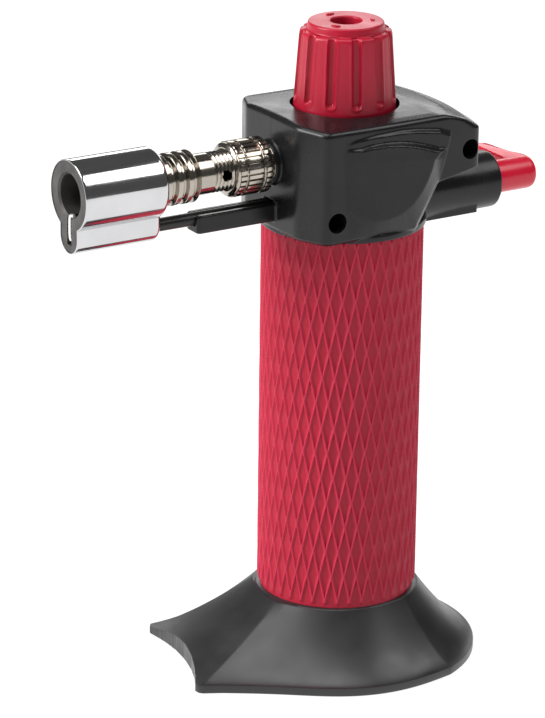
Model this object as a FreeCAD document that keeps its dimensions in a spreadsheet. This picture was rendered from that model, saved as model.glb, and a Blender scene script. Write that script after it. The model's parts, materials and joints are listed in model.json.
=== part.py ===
"""Table-top butane micro torch: stand, fuel tank, grip, burner head, burner barrel and piezo igniter.

Frame: origin on the floor under the tank's axis, +X along the burner towards the flame,
+Z up, millimetres. Every sub-part is an object of the document, bound to the sheet "Dim".
"""
import FreeCAD, Part
import math
import os
import re

import Sketcher
from FreeCAD import Placement, Rotation, Vector

# ---------------------------------------------------------------- driving dimensions
DIMENSIONS = {
    # stand
    "stand_r": 32.4, "stand_edge": 2.0, "stand_wall": 2.0, "stand_mouth_r": 18.9,
    "stand_mouth_z": 16.1, "stand_floor_z": 4.6, "stand_turn": -12.3, "stand_flare": 1.35,
    "apron_r": 43.5, "apron_half_y": 18.4, "apron_front_x": 36.9, "apron_hollow_r": 50.0,
    # tank and grip
    "tank_r": 16.4, "tank_wall": 0.8, "tank_low_z": 6.0, "tank_top_z": 100.2, "cap_thick": 3.4,
    "grip_r": 18.1, "grip_top_z": 105.3,
    # burner head
    "head_low_z": 105.5, "head_top_z": 131.25, "head_front_x": 19.0, "head_half_y": 18.1,
    "head_corner_x": 15.9, "head_flat_y": 10.5, "head_wall": 2.0, "head_side_wall": 3.2,
    "head_crown_r": 215.0, "pad_proud": 2.4, "boss_r": 5.4,
    "rear_centre_x": 28.0, "rear_r": 55.6, "rear_top_r": 42.6, "rear_edge_z": 126.4,
    "rear_plate_z": 117.2, "rear_waist_r": 45.6, "rear_waist_z": 115.2, "rear_foot_r": 40.6,
    "knob_hole_r": 12.3, "lip_r": 19.1, "spigot_in_r": 14.6,
    # igniter housing
    "igniter_z": 107.53, "housing_r": 6.57, "housing_root_r": 7.6, "housing_rear_x": -39.16,
    "housing_bore_r": 5.2, "housing_lip": 1.1, "keel_half_y": 5.2, "keel_low_z": 101.4,
    "keel_rear_x": -33.3,
    # lead channel
    "lead_z": 110.0, "lead_r": 1.5, "channel_half_y": 2.7, "channel_low_z": 106.9,
    "channel_top_z": 111.2, "channel_front_x": 39.4,
    # gas valve and knob
    "valve_r": 4.5, "valve_low_z": 90.0, "valve_top_z": 125.0, "chamber_r": 2.2,
    "chamber_low_z": 110.5, "chamber_top_z": 121.5, "spindle_r": 1.5, "running_gap": 0.05,
    "knob_low_z": 128.2, "knob_base_r": 11.48, "knob_shoulder_r": 10.2, "knob_shoulder_z": 148.06,
    "knob_top_r": 8.53, "knob_top_z": 150.0, "knob_hole_r2": 3.34, "knob_wall": 1.9,
    "flute_r": 1.1, "flute_deep": 0.85, "flute_low_z": 134.2,
    # burner barrel
    "barrel_z": 120.06, "mix_r": 4.65, "mix_bore_r": 3.0, "mix_rear_x": 12.6, "mix_front_x": 55.0,
    "air_hole_r": 1.3, "air_hole_x": 32.9, "thread_pitch": 1.1, "thread_deep": 0.35,
    "collar_r": 6.29, "collar_rear_x": 21.85, "collar_front_x": 30.4, "ring_front_x": 31.3,
    "fin_r": 5.9, "fin_rear_x": 39.9, "fin_pitch": 2.7,
    "guard_r": 8.03, "guard_rear_x": 49.2, "guard_front_x": 70.18, "guard_wall": 0.5,
    "lobe_r": 3.9, "lobe_z": 110.8, "nozzle_front_x": 69.8, "flame_r": 4.76,
    # igniter
    "case_rear_x": -31.0, "case_front_x": -9.0, "plunger_r": 3.3, "plunger_front_x": -22.0,
    "button_r": 3.85, "button_tip_x": -51.2, "press_travel": 5.0,
    # fasteners
    "screw_hole_r": 2.3, "screw_shank_r": 1.2, "low_screw_x": 12.9, "low_screw_z": 109.8,
    "high_screw_x": -22.1, "high_screw_z": 121.7,
}

doc = FreeCAD.newDocument("ButaneTorch")
sheet = doc.addObject("Spreadsheet::Sheet", "Dim")
for row, (alias, number) in enumerate(DIMENSIONS.items(), start=1):
    sheet.set("A%d" % row, alias)
    sheet.set("B%d" % row, str(number))
    sheet.setAlias("B%d" % row, alias)
doc.recompute()


# ---------------------------------------------------------------- helpers
def bound(expression):
    """The expression with every alias written as the sheet's own cell."""
    return re.sub(r"[a-z]\w*", lambda word: "Dim." + word.group(), expression)


def value(expression):
    """The number that an expression of aliases has now."""
    return float(sheet.evalExpression(bound(expression)))


def bind(thing, **sizes):
    """Bind properties of a document object to expressions of aliases."""
    for name, expression in sizes.items():
        thing.setExpression(name, bound(expression))


def place(thing, x="0", y="0", z="0", turn=None):
    """Move a document object to a bound point, after turning it."""
    base = Vector(value(x), value(y), value(z))
    thing.Placement = Placement(base, turn or Rotation())
    for axis, expression in (("x", x), ("y", y), ("z", z)):
        if re.search(r"[a-z]", expression):
            thing.setExpression("Placement.Base." + axis, bound(expression))


ALONG_X = Rotation(Vector(0, 1, 0), 90)
ALONG_Y = Rotation(Vector(1, 0, 0), -90)
TURNS = {"X": ALONG_X, "Y": ALONG_Y, "Z": Rotation()}
parts = []


def keep(thing, label):
    """Name a finished sub-part: its Label is its file's name."""
    thing.Label = label
    parts.append(thing)
    return thing


def polygon(sketch, corners):
    """Draw a closed outline whose corners are pairs of expressions of aliases."""
    points = [Vector(value(across), value(up), 0) for across, up in corners]
    count = len(points)
    for i in range(count):
        sketch.addGeometry(Part.LineSegment(points[i], points[(i + 1) % count]), False)
    for i in range(count):
        sketch.addConstraint(Sketcher.Constraint("Coincident", i, 2, (i + 1) % count, 1))
    for i, (across, up) in enumerate(corners):
        for kind, expression, axis in (("DistanceX", across, -2), ("DistanceY", up, -1)):
            if expression == "0":
                sketch.addConstraint(Sketcher.Constraint("PointOnObject", i, 1, axis))
                continue
            number = sketch.addConstraint(
                Sketcher.Constraint(kind, -1, 1, i, 1, value(expression)))
            sketch.setExpression("Constraints[%d]" % number, bound(expression))


def body_with_sketch(name, plane, corners):
    """A body with one closed sketch on one of its own origin planes."""
    body = doc.addObject("PartDesign::Body", name)
    sketch = body.newObject("Sketcher::SketchObject", name + "_outline")
    origin_plane = [f for f in body.Origin.OriginFeatures if f.Role == plane][0]
    sketch.AttachmentSupport = [(origin_plane, "")]
    sketch.MapMode = "FlatFace"
    polygon(sketch, corners)
    return body, sketch


def turned(name, corners, axis="Z", height="0"):
    """A lathe-turned solid: corners are (radius, station) along Z, or along X at a height."""
    body, sketch = body_with_sketch(name, "XZ_Plane", corners)
    revolution = body.newObject("PartDesign::Revolution", name + "_turned")
    revolution.Profile = sketch
    revolution.ReferenceAxis = (sketch, ["V_Axis"])
    revolution.Angle = 360.0
    place(body, z=height, turn=TURNS[axis])
    return body


def extruded(name, plane, corners, length):
    """A straight solid of one outline, padded evenly to both sides of its plane."""
    body, sketch = body_with_sketch(name, plane, corners)
    pad = body.newObject("PartDesign::Pad", name + "_pad")
    pad.Profile = sketch
    pad.Midplane = True
    pad.setExpression("Length", bound(length))
    return body


def block(name, low, high):
    """A box between two corners given as expressions."""
    box = doc.addObject("Part::Box", name)
    spans = ["(%s) - (%s)" % (b, a) for a, b in zip(low, high)]
    bind(box, Length=spans[0], Width=spans[1], Height=spans[2])
    place(box, *low)
    return box


def rod(name, radius, start, length, axis="Z"):
    """A cylinder from a start point along one axis."""
    cylinder = doc.addObject("Part::Cylinder", name)
    bind(cylinder, Radius=radius, Height=length)
    place(cylinder, *start, turn=TURNS[axis])
    return cylinder


def cut(name, base, *tools):
    """The base without its tools."""
    result = doc.addObject("Part::Cut", name)
    result.Base = base
    result.Tool = tools[0] if len(tools) == 1 else join(name + "_tools", *tools)
    return result


def join(name, *shapes):
    """Several shapes as one solid."""
    result = doc.addObject("Part::MultiFuse", name)
    result.Shapes = list(shapes)
    return result


def overlap(name, *shapes):
    """What several shapes share."""
    result = doc.addObject("Part::MultiCommon", name)
    result.Shapes = list(shapes)
    return result


def fixed_shape(name, shape, position=None, turn=None):
    """A shape worked out by code, as an object of the document."""
    feature = doc.addObject("Part::Feature", name)
    feature.Shape = shape
    feature.Placement = Placement(position or Vector(), turn or Rotation()) * shape.Placement
    return feature


def coil_spring(name, coil_r, wire_r, low, high, turns, axis="Z", height="0"):
    """A round-wire compression spring between two stations."""
    length = value(high) - value(low) - 2 * wire_r
    helix = Part.makeHelix(length / turns, length, coil_r)
    section = Part.Wire(Part.makeCircle(wire_r, Vector(coil_r, 0, 0), Vector(0, 1, 0)))
    spring = Part.Wire(helix).makePipeShell([section], True, True)
    spring.translate(Vector(0, 0, value(low) + wire_r))
    return fixed_shape(name, spring, Vector(0, 0, value(height)), TURNS[axis])


# ---------------------------------------------------------------- stand
def stand_outline(grow, z):
    """The skirt's plan at one height: a round back, swept sides and a fanned front."""
    back_r = value("stand_r") + grow
    front_r = value("apron_r") + grow
    half_y = value("apron_half_y") + grow
    corner = Vector(math.sqrt(front_r ** 2 - half_y ** 2), half_y, z)
    tangent = math.radians(72)
    start = Vector(back_r * math.cos(tangent), back_r * math.sin(tangent), z)
    waist = (start + corner) * 0.5 - Vector(0.55, 1.2, 0)
    far_start, far_waist, far_corner = (Vector(p.x, -p.y, p.z) for p in (start, waist, corner))
    edges = [
        Part.Arc(start, Vector(-back_r, 0, z), far_start),
        Part.Arc(far_start, far_waist, far_corner),
        Part.Arc(far_corner, Vector(front_r, 0, z), corner),
        Part.Arc(corner, waist, start),
    ]
    return Part.Wire([edge.toShape() for edge in edges])


def mouth_outline(radius, z):
    """The round mouth at the top of the skirt, split where the plan's arcs meet."""
    marks = [math.radians(a) for a in (72, 180, 288, 310, 335, 360, 385, 410, 432)]
    points = [Vector(radius * math.cos(a), radius * math.sin(a), z) for a in marks]
    edges = [Part.Arc(*points[i:i + 3]) for i in (0, 2, 4, 6)]
    return Part.Wire([edge.toShape() for edge in edges])


def blended(low, high, share, z):
    """The plan a share of the way from one outline of four arcs to another."""
    edges = []
    for a, b in zip(low.Edges, high.Edges):
        marks = []
        for fraction in (0.0, 0.5, 1.0):
            near = a.valueAt(a.FirstParameter + fraction * (a.LastParameter - a.FirstParameter))
            far = b.valueAt(b.FirstParameter + fraction * (b.LastParameter - b.FirstParameter))
            point = near * (1 - share) + far * share
            marks.append(Vector(point.x, point.y, z))
        edges.append(Part.Arc(*marks).toShape())
    return Part.Wire(edges)


def skirt(grow, mouth_r, edge_z, mouth_z, foot_z):
    """A skirt that flares out to a straight-sided edge."""
    low = stand_outline(grow, edge_z)
    high = mouth_outline(mouth_r, mouth_z)
    sections = [low]
    for share in (0.3, 0.65):
        z = mouth_z - (mouth_z - edge_z) * (1 - share ** value("stand_flare"))
        sections.append(blended(low, high, share, z))
    sections.append(high)
    slope = Part.makeLoft(sections, True, True)
    edge = Part.Face(stand_outline(grow, foot_z)).extrude(Vector(0, 0, edge_z - foot_z))
    return edge.fuse(slope).removeSplitter()


def make_stand():
    wall = value("stand_wall")
    mouth_r = value("stand_mouth_r")
    mouth_z = value("stand_mouth_z")
    edge_z = value("stand_edge")
    outer = skirt(0.0, mouth_r, edge_z, mouth_z, 0.0)
    inner = skirt(-wall, mouth_r - 1.2, edge_z - 1.0, mouth_z - wall, -1.0)
    tank_r = value("tank_r")
    floor_z = value("stand_floor_z")
    socket = Part.makeCylinder(mouth_r, mouth_z - floor_z, Vector(0, 0, floor_z))
    bore = Part.makeCylinder(tank_r, mouth_z, Vector(0, 0, value("tank_low_z")))
    access = Part.makeCylinder(tank_r - 1.6, mouth_z, Vector(0, 0, -1))
    reach = value("apron_hollow_r")
    hollow = Part.makeCylinder(reach, 40, Vector(value("apron_front_x") + reach, 0, -5))
    hull_band = reach + wall
    inner_hollow = Part.makeCylinder(hull_band, 40, Vector(value("apron_front_x") + reach, 0, -5))
    shell = outer.cut(hollow).cut(inner.cut(inner_hollow))
    shell = shell.fuse(socket.common(outer)).cut(bore).cut(access).removeSplitter()
    turn = Rotation(Vector(0, 0, 1), value("stand_turn"))
    keep(fixed_shape("Stand", shell, Vector(), turn), "base_stand")


# ---------------------------------------------------------------- tank and grip
def make_tank():
    inner_r = "tank_r - tank_wall"
    can = turned("Tank", [
        ("4.0", "tank_low_z"), ("tank_r", "tank_low_z"), ("tank_r", "tank_top_z"),
        (inner_r, "tank_top_z"), (inner_r, "tank_low_z + 1.4"), ("4.0", "tank_low_z + 1.4")])
    keep(can, "fuel_tank")
    groove_r = "tank_r - tank_wall - 1.1"
    cap = turned("TankCap", [
        ("valve_r", "tank_top_z - cap_thick"), (inner_r, "tank_top_z - cap_thick"),
        (inner_r, "tank_top_z - 2.5"), (groove_r, "tank_top_z - 2.5"),
        (groove_r, "tank_top_z - 1.2"), (inner_r, "tank_top_z - 1.2"),
        (inner_r, "tank_top_z"), ("valve_r", "tank_top_z")])
    keep(cap, "tank_cap")
    seal = doc.addObject("Part::Torus", "TankSeal")
    bind(seal, Radius1="tank_r - tank_wall - 0.55", Radius2="0.55")
    place(seal, z="tank_top_z - 1.85")
    keep(seal, "tank_cap_seal")


def make_grip():
    sleeve = turned("GripSleeve", [
        ("tank_r", "stand_mouth_z"), ("grip_r", "stand_mouth_z"),
        ("grip_r", "grip_top_z"), ("tank_r", "grip_top_z")])
    notch = rod("GripNotch", "housing_root_r", ("-30", "0", "igniter_z"), "24", "X")
    slot = block("GripSlot", ("-30", "-keel_half_y", "keel_low_z - 0.1"),
                 ("-6", "keel_half_y", "igniter_z"))
    keep(cut("Grip", sleeve, notch, slot), "grip_sleeve")


# ---------------------------------------------------------------- refill valve
def make_refill_valve():
    body = turned("RefillBody", [
        ("1.25", "3.6"), ("5.5", "3.6"), ("5.5", "tank_low_z"), ("4.0", "tank_low_z"),
        ("4.0", "14.0"), ("0.8", "14.0"), ("0.8", "13.0"), ("2.6", "13.0"), ("2.6", "6.4"),
        ("1.25", "6.4")])
    keep(body, "refill_valve_body")
    stem = turned("RefillStem", [
        ("0", "2.8"), ("1.15", "2.8"), ("1.15", "7.4"), ("2.2", "7.4"), ("2.2", "8.2"),
        ("0", "8.2")])
    keep(stem, "refill_valve_stem")
    seal = turned("RefillSeal", [("1.3", "6.4"), ("2.6", "6.4"), ("2.6", "7.2"), ("1.3", "7.2")])
    keep(seal, "refill_valve_seal")
    keep(coil_spring("RefillSpring", 1.7, 0.25, "8.2", "13.0", 4), "refill_valve_spring")


# ---------------------------------------------------------------- gas valve and knob
def make_gas_valve():
    body = turned("ValveTurned", [
        ("1.5", "valve_low_z"), ("valve_r", "valve_low_z"), ("valve_r", "tank_top_z"),
        ("6.4", "tank_top_z"), ("6.4", "tank_top_z + 2.2"), ("valve_r", "tank_top_z + 2.2"),
        ("valve_r", "valve_top_z"), ("3.4", "valve_top_z"), ("3.4", "chamber_top_z"),
        ("chamber_r", "chamber_top_z"), ("chamber_r", "chamber_low_z"), ("0.9", "chamber_low_z"),
        ("0.9", "valve_low_z + 6.5"), ("1.5", "valve_low_z + 6.5")])
    port = rod("ValvePort", "0.7", ("0", "0", "barrel_z"), "valve_r + 1", "X")
    socket = rod("ValveSocket", "1.3", ("valve_r - 1.2", "0", "barrel_z"), "2", "X")
    keep(cut("Valve", body, port, socket), "valve_body")
    keep(rod("DipTube", "1.5", ("0", "0", "18"), "valve_low_z - 13", "Z"), "fuel_wick")
    keep(rod("Filter", "1.5", ("0", "0", "valve_low_z + 5"), "1.5", "Z"), "gas_filter")
    gland = turned("Gland", [
        ("spindle_r + running_gap", "chamber_top_z + 1.6"), ("3.4", "chamber_top_z + 1.6"),
        ("3.4", "valve_top_z"), ("valve_r", "valve_top_z"), ("valve_r", "valve_top_z + 2.2"),
        ("spindle_r + running_gap", "valve_top_z + 2.2")])
    keep(gland, "gland_nut")
    seal = turned("SpindleSeal", [
        ("spindle_r + running_gap", "chamber_top_z"), ("3.4", "chamber_top_z"),
        ("3.4", "chamber_top_z + 1.6"), ("spindle_r + running_gap", "chamber_top_z + 1.6")])
    keep(seal, "spindle_seal")
    spindle = turned("Spindle", [
        ("0", "chamber_low_z - 0.9"), ("0.35", "chamber_low_z - 0.9"),
        ("spindle_r", "chamber_low_z + 2"), ("spindle_r", "knob_top_z - 9"),
        ("0", "knob_top_z - 9")])
    keep(spindle, "valve_spindle")


def make_knob():
    hub_r = "4.6"
    blank = turned("KnobBlank", [
        ("spindle_r + running_gap", "knob_low_z"), (hub_r, "knob_low_z"),
        (hub_r, "knob_shoulder_z - 4"), ("knob_shoulder_r - knob_wall", "knob_shoulder_z - 4"),
        ("knob_base_r - knob_wall", "knob_low_z"), ("knob_base_r", "knob_low_z"),
        ("knob_base_r", "head_top_z"), ("knob_shoulder_r", "knob_shoulder_z - 0.6"),
        ("knob_shoulder_r - 0.6", "knob_shoulder_z"), ("knob_top_r", "knob_shoulder_z"),
        ("knob_top_r", "knob_top_z - 0.5"), ("knob_top_r - 0.5", "knob_top_z"),
        ("knob_hole_r2", "knob_top_z"), ("knob_hole_r2", "knob_top_z - 8"),
        ("spindle_r + running_gap", "knob_top_z - 8")])
    lean = math.degrees(math.atan2(value("knob_base_r - knob_shoulder_r"),
                                   value("knob_shoulder_z - head_top_z")))
    start_r = value("knob_base_r - flute_deep + flute_r - 0.2")
    flutes = []
    for number in range(12):
        angle = 30.0 * number + 11.0
        turn = Rotation(Vector(0, 0, 1), angle) * Rotation(Vector(0, 1, 0), -lean)
        start = Rotation(Vector(0, 0, 1), angle).multVec(Vector(start_r, 0, 0))
        flute = doc.addObject("Part::Cylinder", "Flute%d" % (number + 1))
        bind(flute, Radius="flute_r", Height="20")
        flute.Placement = Placement(start + Vector(0, 0, value("flute_low_z")), turn)
        flutes.append(flute)
    keep(cut("Knob", blank, *flutes), "control_knob")
    screw = turned("KnobScrew", [
        ("0", "knob_top_z - 9"), ("spindle_r", "knob_top_z - 9"), ("spindle_r", "knob_top_z - 8"),
        ("2.8", "knob_top_z - 8"), ("2.8", "knob_top_z - 6.6"), ("0.9", "knob_top_z - 6.6"),
        ("0.9", "knob_top_z - 7.4"), ("0", "knob_top_z - 7.4")])
    keep(screw, "knob_screw")


# ---------------------------------------------------------------- burner barrel
def make_gas_line():
    pipe = turned("GasPipe", [
        ("0.7", "valve_r - 1.2"), ("1.3", "valve_r - 1.2"), ("1.3", "14.0"), ("0.7", "14.0")],
        "X", "barrel_z")
    keep(pipe, "gas_pipe")
    jet = turned("Jet", [
        ("1.3", "12.6"), ("mix_bore_r", "12.6"), ("mix_bore_r", "17.0"), ("1.2", "18.6"),
        ("0.25", "18.6"), ("0.25", "16.0"), ("0.7", "14.0"), ("1.3", "14.0")], "X", "barrel_z")
    keep(jet, "gas_jet")


def make_mixing_tube():
    front = value("fin_rear_x") - 3.6
    pitch = value("thread_pitch")
    groove_r = "mix_r - thread_deep"
    corners = [("mix_bore_r", "mix_rear_x"), ("mix_r", "mix_rear_x"),
               ("mix_r", "head_front_x - head_wall - 2"), ("6.0", "head_front_x - head_wall - 2"),
               ("6.0", "head_front_x - head_wall"), ("mix_r", "head_front_x - head_wall")]
    crest = value("collar_rear_x")
    while crest < front - pitch:
        corners.append(("mix_r", "%.3f" % crest))
        corners.append((groove_r, "%.3f" % (crest + pitch / 2)))
        crest += pitch
    corners += [("mix_r", "%.3f" % crest), ("mix_r", "mix_front_x"),
                ("mix_bore_r", "mix_front_x")]
    tube = turned("MixTube", corners, "X", "barrel_z")
    across = rod("AirHoleY", "air_hole_r", ("air_hole_x", "-8", "barrel_z"), "16", "Y")
    upright = rod("AirHoleZ", "air_hole_r", ("air_hole_x", "0", "barrel_z - 8"), "16", "Z")
    keep(cut("MixingTube", tube, across, upright), "mixing_tube")


def make_air_collar():
    bore = "mix_r + running_gap"
    blank = turned("CollarBlank", [
        (bore, "collar_rear_x"), ("collar_r", "collar_rear_x"), ("collar_r", "collar_rear_x + 1.9"),
        ("collar_r - 0.5", "collar_rear_x + 2.2"), ("collar_r", "collar_rear_x + 2.5"),
        ("collar_r", "collar_rear_x + 6.4"), ("collar_r - 0.5", "collar_rear_x + 6.7"),
        ("collar_r", "collar_rear_x + 7.0"), ("collar_r", "collar_front_x"),
        (bore, "collar_front_x")], "X", "barrel_z")
    grooves = []
    count = 30
    for number in range(count):
        angle = 2 * math.pi * number / count
        groove = doc.addObject("Part::Cylinder", "Knurl%d" % (number + 1))
        bind(groove, Radius="0.42", Height="collar_front_x - collar_rear_x + 2")
        reach = value("collar_r") + 0.1
        centre = Vector(value("collar_rear_x") - 1, reach * math.cos(angle),
                        value("barrel_z") + reach * math.sin(angle))
        groove.Placement = Placement(centre, ALONG_X)
        grooves.append(groove)
    keep(cut("Collar", blank, *grooves), "air_collar")
    ring = turned("CollarRing", [
        (bore, "collar_front_x"), ("collar_r - 0.2", "collar_front_x"),
        ("collar_r - 0.3", "ring_front_x - 0.4"), ("collar_r - 1.24", "ring_front_x"),
        (bore, "ring_front_x")], "X", "barrel_z")
    keep(ring, "air_collar_ring")


def make_finned_sleeve():
    corners = [("mix_r", "fin_rear_x"), ("fin_r - 0.9", "fin_rear_x"),
               ("fin_r", "fin_rear_x + 0.9")]
    for number in range(4):
        groove = value("fin_rear_x") + 1.4 + number * value("fin_pitch")
        if groove + 1.0 > value("guard_rear_x"):
            break
        corners += [("fin_r", "%.3f" % (groove - 0.45)), ("fin_r - 0.8", "%.3f" % (groove - 0.2)),
                    ("fin_r - 0.8", "%.3f" % (groove + 0.2)), ("fin_r", "%.3f" % (groove + 0.45))]
    corners += [("fin_r", "guard_rear_x + 0.6"), ("mix_r", "guard_rear_x + 0.6")]
    keep(turned("FinnedSleeve", corners, "X", "barrel_z"), "finned_sleeve")


def pear(inset, x_low, x_high):
    """A straight bar of the flame guard's pear-shaped section, inset from its outside."""
    length = x_high - x_low
    lobe_r = value("lobe_r") - inset
    along = Vector(1, 0, 0)
    barrel = Part.makeCylinder(value("guard_r") - inset, length,
                               Vector(x_low, 0, value("barrel_z")), along)
    lobe = Part.makeCylinder(lobe_r, length, Vector(x_low, 0, value("lobe_z")), along)
    web = Part.makeBox(length, 2 * lobe_r, value("barrel_z - lobe_z"),
                       Vector(x_low, -lobe_r, value("lobe_z")))
    return barrel.fuse([lobe, web]).removeSplitter()


def make_nozzle():
    rear = value("guard_rear_x")
    front = value("guard_front_x")
    wall = value("guard_wall")
    outer = pear(0.0, rear, front)
    rim = [e for e in outer.Edges if abs(e.BoundBox.XMin - rear) < 1e-6
           and abs(e.BoundBox.XMax - rear) < 1e-6]
    outer = outer.makeFillet(1.3, rim)
    along = Vector(1, 0, 0)
    fin_hole = Part.makeCylinder(value("fin_r"), 2, Vector(rear - 1, 0, value("barrel_z")), along)
    lead_hole = Part.makeCylinder(value("lead_r"), 2, Vector(rear - 1, 0, value("lead_z")), along)
    inner = pear(wall, rear + 1.4, front + 1)
    guard = outer.cut(inner)
    guard = guard.cut(fin_hole.fuse(lead_hole).fuse(
        Part.makeCylinder(value("fin_r"), 1.4, Vector(rear, 0, value("barrel_z")), along)).fuse(
        Part.makeCylinder(value("lead_r"), 1.4, Vector(rear, 0, value("lead_z")), along)))
    keep(fixed_shape("FlameGuard", guard), "flame_guard")
    core = pear(wall, rear + 1.4, value("nozzle_front_x"))
    spigot = Part.makeCylinder(value("mix_r"), value("mix_front_x") - rear,
                               Vector(rear, 0, value("barrel_z")), along)
    flame = Part.makeCylinder(value("flame_r"), 30,
                              Vector(value("mix_front_x"), 0, value("barrel_z")), along)
    lead_r = value("lead_r")
    lead = Part.makeCylinder(lead_r, 30, Vector(rear, 0, value("lead_z")), along)
    slot = Part.makeBox(6, 2 * lead_r, value("barrel_z - lead_z"),
                        Vector(rear + 16.6, -lead_r, value("lead_z")))
    core = core.cut(spigot).cut(flame).cut(lead).cut(slot).removeSplitter()
    keep(fixed_shape("Nozzle", core), "burner_nozzle")


def make_flame_disc():
    disc = rod("DiscBlank", "flame_r", ("mix_front_x", "0", "barrel_z"), "1.2", "X")
    holes = [rod("DiscHole0", "0.7", ("mix_front_x - 1", "0", "barrel_z"), "4", "X")]
    for number in range(6):
        angle = number * math.pi / 3
        y = "%.4f" % (2.7 * math.cos(angle))
        z = "barrel_z + (%.4f)" % (2.7 * math.sin(angle))
        holes.append(rod("DiscHole%d" % (number + 1), "0.7", ("mix_front_x - 1", y, z), "4", "X"))
    keep(cut("FlameDisc", disc, *holes), "flame_disc")


# ---------------------------------------------------------------- electrode and lead
def tube_along(points, radii, radius):
    """A round tube whose straight runs are joined by tangent arcs."""
    edges = []
    start = points[0]
    for i in range(1, len(points) - 1):
        before = (points[i] - points[i - 1]).normalize()
        after = (points[i + 1] - points[i]).normalize()
        turn = before.getAngle(after)
        reach = radii[i - 1] * math.tan(turn / 2)
        enter = points[i] - before * reach
        leave = points[i] + after * reach
        inward = (after - before).normalize()
        middle = points[i] + inward * (radii[i - 1] / math.cos(turn / 2) - radii[i - 1])
        edges.append(Part.LineSegment(start, enter).toShape())
        edges.append(Part.Arc(enter, middle, leave).toShape())
        start = leave
    edges.append(Part.LineSegment(start, points[-1]).toShape())
    path = Part.Wire(edges)
    section = Part.Wire(Part.makeCircle(radius, points[0], points[1] - points[0]))
    return path.makePipeShell([section], True, False)


def make_electrode():
    lead_z = value("lead_z")
    front = value("guard_rear_x") + 16.6
    along = Vector(1, 0, 0)
    sleeve = Part.makeCylinder(value("lead_r"), 26.0, Vector(24.0, 0, lead_z), along)
    bore = Part.makeCylinder(0.45, 60, Vector(20.0, 0, lead_z), along)
    keep(fixed_shape("LeadSleeve", sleeve.cut(bore)), "lead_sleeve")
    ceramic = Part.makeCylinder(value("lead_r"), front - 50.0, Vector(50.0, 0, lead_z), along)
    keep(fixed_shape("Insulator", ceramic.cut(bore)), "electrode_insulator")
    tip_z = value("barrel_z - flame_r")
    route = [Vector(24.0, 0, lead_z), Vector(front + 1.9, 0, lead_z),
             Vector(front + 1.9, 0, tip_z), Vector(front + 1.9, 0.8, tip_z + 0.7)]
    keep(fixed_shape("Electrode", tube_along(route, [0.9, 0.5], 0.45)), "electrode_wire")


def make_ignition_lead():
    low = value("igniter_z")
    lead_z = value("lead_z")
    over_screw = value("low_screw_z + screw_shank_r") + 1.0
    front = value("case_front_x")
    route = [Vector(front, -2.6, low), Vector(front + 2.4, -2.6, low),
             Vector(-3.0, -6.8, low + 0.6), Vector(4.5, -6.6, low + 3.0),
             Vector(9.8, -2.6, over_screw), Vector(14.4, 0, over_screw),
             Vector(18.4, 0, lead_z + 0.2), Vector(21.5, 0, lead_z), Vector(24.0, 0, lead_z)]
    radii = []
    for i in range(1, len(route) - 1):
        before = route[i] - route[i - 1]
        after = route[i + 1] - route[i]
        shorter = min(before.Length, after.Length)
        radii.append(0.45 * shorter / math.tan(before.getAngle(after) / 2))
    keep(fixed_shape("IgnitionLead", tube_along(route, radii, 0.8)), "ignition_lead")


# ---------------------------------------------------------------- igniter
def make_igniter():
    case = turned("IgniterCase", [
        ("0", "case_front_x"), ("housing_bore_r", "case_front_x"),
        ("housing_bore_r", "case_rear_x"), ("plunger_r + 0.1", "case_rear_x"),
        ("plunger_r + 0.1", "case_front_x - 5"), ("0", "case_front_x - 5")], "X", "igniter_z")
    keep(case, "igniter_case")
    plunger = turned("Plunger", [
        ("0", "housing_rear_x + 3"), ("plunger_r", "housing_rear_x + 3"),
        ("plunger_r", "plunger_front_x"), ("0", "plunger_front_x")], "X", "igniter_z")
    keep(plunger, "igniter_plunger")
    spring = coil_spring("IgniterSpring", 2.5, 0.25, "plunger_front_x", "case_front_x - 5", 4,
                         "X", "igniter_z")
    keep(spring, "igniter_spring")


def make_button():
    shank = turned("ButtonShank", [
        ("0", "housing_rear_x + 3"), ("housing_bore_r - 0.1", "housing_rear_x + 3"),
        ("housing_bore_r - 0.1", "housing_rear_x + housing_lip + 0.3"),
        ("button_r", "housing_rear_x + housing_lip + 0.3"), ("button_r", "button_tip_x + 1.6"),
        ("button_r - 0.5", "button_tip_x + 0.5"), ("button_r - 1.6", "button_tip_x"),
        ("0", "button_tip_x")], "X", "igniter_z")
    wing_top = value("igniter_z + button_r")
    tip = value("button_tip_x")
    front = value("housing_rear_x - press_travel") - 0.4
    wing = Part.Wire([
        Part.LineSegment(Vector(front, 0, 0), Vector(tip + 0.6, 0, 0)).toShape(),
        Part.Arc(Vector(tip + 0.6, 0, 0), Vector(tip + 2.2, -5.6, 0),
                 Vector(tip + 3.0, -13.2, 0)).toShape(),
        Part.Arc(Vector(tip + 3.0, -13.2, 0), Vector(tip + 4.2, -14.4, 0),
                 Vector(front, -13.6, 0)).toShape(),
        Part.LineSegment(Vector(front, -13.6, 0), Vector(front, 0, 0)).toShape()])
    plate = Part.Face(wing).extrude(Vector(0, 0, 2.2))
    plate.translate(Vector(0, 0, wing_top - 2.2))
    pad = fixed_shape("ThumbWing", plate)
    keep(join("Button", shank, pad), "igniter_button")


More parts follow.
